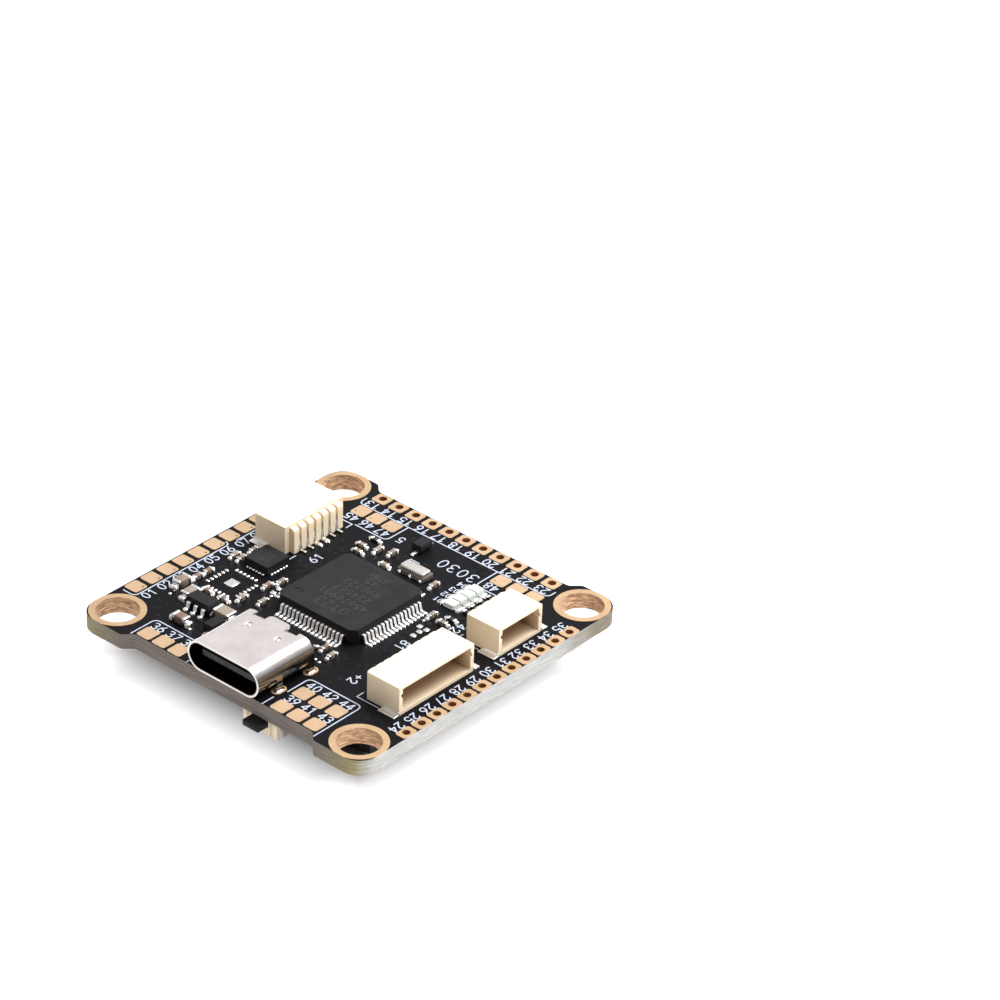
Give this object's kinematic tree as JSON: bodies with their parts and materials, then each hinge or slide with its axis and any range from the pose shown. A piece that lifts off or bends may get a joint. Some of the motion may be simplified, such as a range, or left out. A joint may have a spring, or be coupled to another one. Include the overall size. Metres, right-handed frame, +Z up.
{
  "type": "flight controller board",
  "caption": "Square black flight controller board for a small multirotor, with corner mounting holes, gold solder pads, a charging socket, plug-in connectors and a small press switch.",
  "frame": {"origin": "centre of the four mounting holes, on the underside of the laminate", "axes": "+Z up through the populated side; -Y towards the charging socket; +X towards the 8-way and 4-way connectors"},
  "size_m": [0.0358, 0.036, 0.0078],
  "materials": {
    "solder_mask": "satin black solder mask over glass-epoxy laminate",
    "gold_plating": "matte immersion gold",
    "solder_tin": "bright reflowed tin",
    "contact_metal": "satin tin-plated contact metal",
    "chip_mould": "matte moulding compound",
    "socket_shell": "bright nickel over drawn steel",
    "socket_plastic": "matte black moulded plastic",
    "ivory_plastic": "ivory moulded plastic, slightly translucent",
    "can_lid": "satin stamped metal",
    "crystal_ceramic": "matte ceramic",
    "led_white": "white moulded base",
    "led_clear": "clear cast resin",
    "resistor_glaze": "black glaze",
    "ceramic_tan": "fired tan ceramic",
    "plunger_black": "fine-textured black plastic",
    "ferrite": "pressed metal powder",
    "tantalum_mould": "matte moulded case",
    "sensor_laminate": "satin laminate"
  },
  "bodies": {
    "board": {"laminate": "solder_mask", "mounting_hole_plating": "gold_plating", "right_wire_pads": "gold_plating", "rear_wire_pads": "gold_plating", "left_wire_pads": "gold_plating", "front_left_pads": "gold_plating", "front_right_pads": "gold_plating", "rear_inner_pads": "gold_plating", "spare_sensor_footprint": "solder_tin", "bare_part_pads": "solder_tin", "usb_slot_plating": "gold_plating", "processor_package": "chip_mould", "processor_leads": "solder_tin", "motion_sensor_package": "chip_mould", "motion_sensor_pads": "solder_tin", "usb_shell": "socket_shell", "usb_insulator": "socket_plastic", "usb_contacts": "gold_plating", "eight_pin_housing": "ivory_plastic", "eight_pin_contacts": "contact_metal", "eight_pin_tabs": "contact_metal", "four_pin_housing": "ivory_plastic", "four_pin_contacts": "contact_metal", "four_pin_tabs": "contact_metal", "six_pin_housing": "ivory_plastic", "six_pin_contacts": "contact_metal", "six_pin_tabs": "contact_metal", "crystal_base": "crystal_ceramic", "crystal_lid": "can_lid", "regulator_package": "chip_mould", "regulator_leads": "solder_tin", "status_led_bases": "led_white", "status_led_lenses": "led_clear", "status_led_terminals": "solder_tin", "resistor_bodies": "resistor_glaze", "resistor_terminals": "solder_tin", "small_capacitor_bodies": "ceramic_tan", "small_capacitor_terminals": "solder_tin", "large_capacitor_bodies": "ceramic_tan", "large_capacitor_terminals": "solder_tin", "diode_bodies": "chip_mould", "diode_terminals": "solder_tin", "boot_switch_housing": "ivory_plastic", "boot_switch_cover": "can_lid", "boot_switch_dome": "can_lid", "boot_switch_terminals": "solder_tin", "inductor_cores": "ferrite", "inductor_terminals": "solder_tin", "bulk_capacitor_bodies": "tantalum_mould", "bulk_capacitor_terminals": "solder_tin", "display_chip_package": "chip_mould", "display_chip_leads": "solder_tin", "memory_chip_package": "chip_mould", "memory_chip_pads": "solder_tin", "converter_packages": "chip_mould", "converter_leads": "solder_tin", "pressure_sensor_base": "sensor_laminate", "pressure_sensor_lid": "can_lid"},
    "plunger": {"boot_switch_plunger": "plunger_black"}
  },
  "joints": [
    {"name": "boot_press", "type": "slide", "parent": "board", "child": "plunger", "axis": [0, 1, 0], "range_m": [0, 0.00025], "stiffness_N_per_m": 600, "springref_m": -0.0005}
  ]
}
